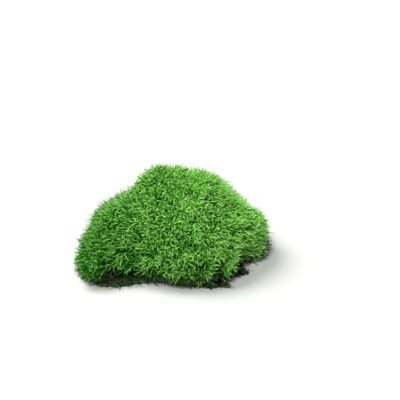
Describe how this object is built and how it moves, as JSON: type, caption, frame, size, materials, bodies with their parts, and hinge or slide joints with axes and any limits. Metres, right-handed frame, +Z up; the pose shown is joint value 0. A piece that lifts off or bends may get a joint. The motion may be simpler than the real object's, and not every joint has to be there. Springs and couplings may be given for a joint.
{
  "type": "moss clump",
  "caption": "Low rounded clump of cushion moss with a lobed, leafy top and shaggy skirt, on a thin flat-cut mat of its own dead stems, for dressing soil, bark or a planter.",
  "frame": {"origin": "on the cut base, under the middle of the clump's bounding box", "axes": "+Z up out of the ground it grew on, +X to the right and along the longest side, -Y towards the front, where the skirt is lifted and the mat shows"},
  "size_m": [0.1788, 0.1508, 0.0899],
  "materials": {
    "moss_leaves": "matte",
    "dead_stems": "matte"
  },
  "bodies": {
    "root": {"moss_cushion": "moss_leaves", "dead_stem_mat": "dead_stems"}
  },
  "joints": []
}
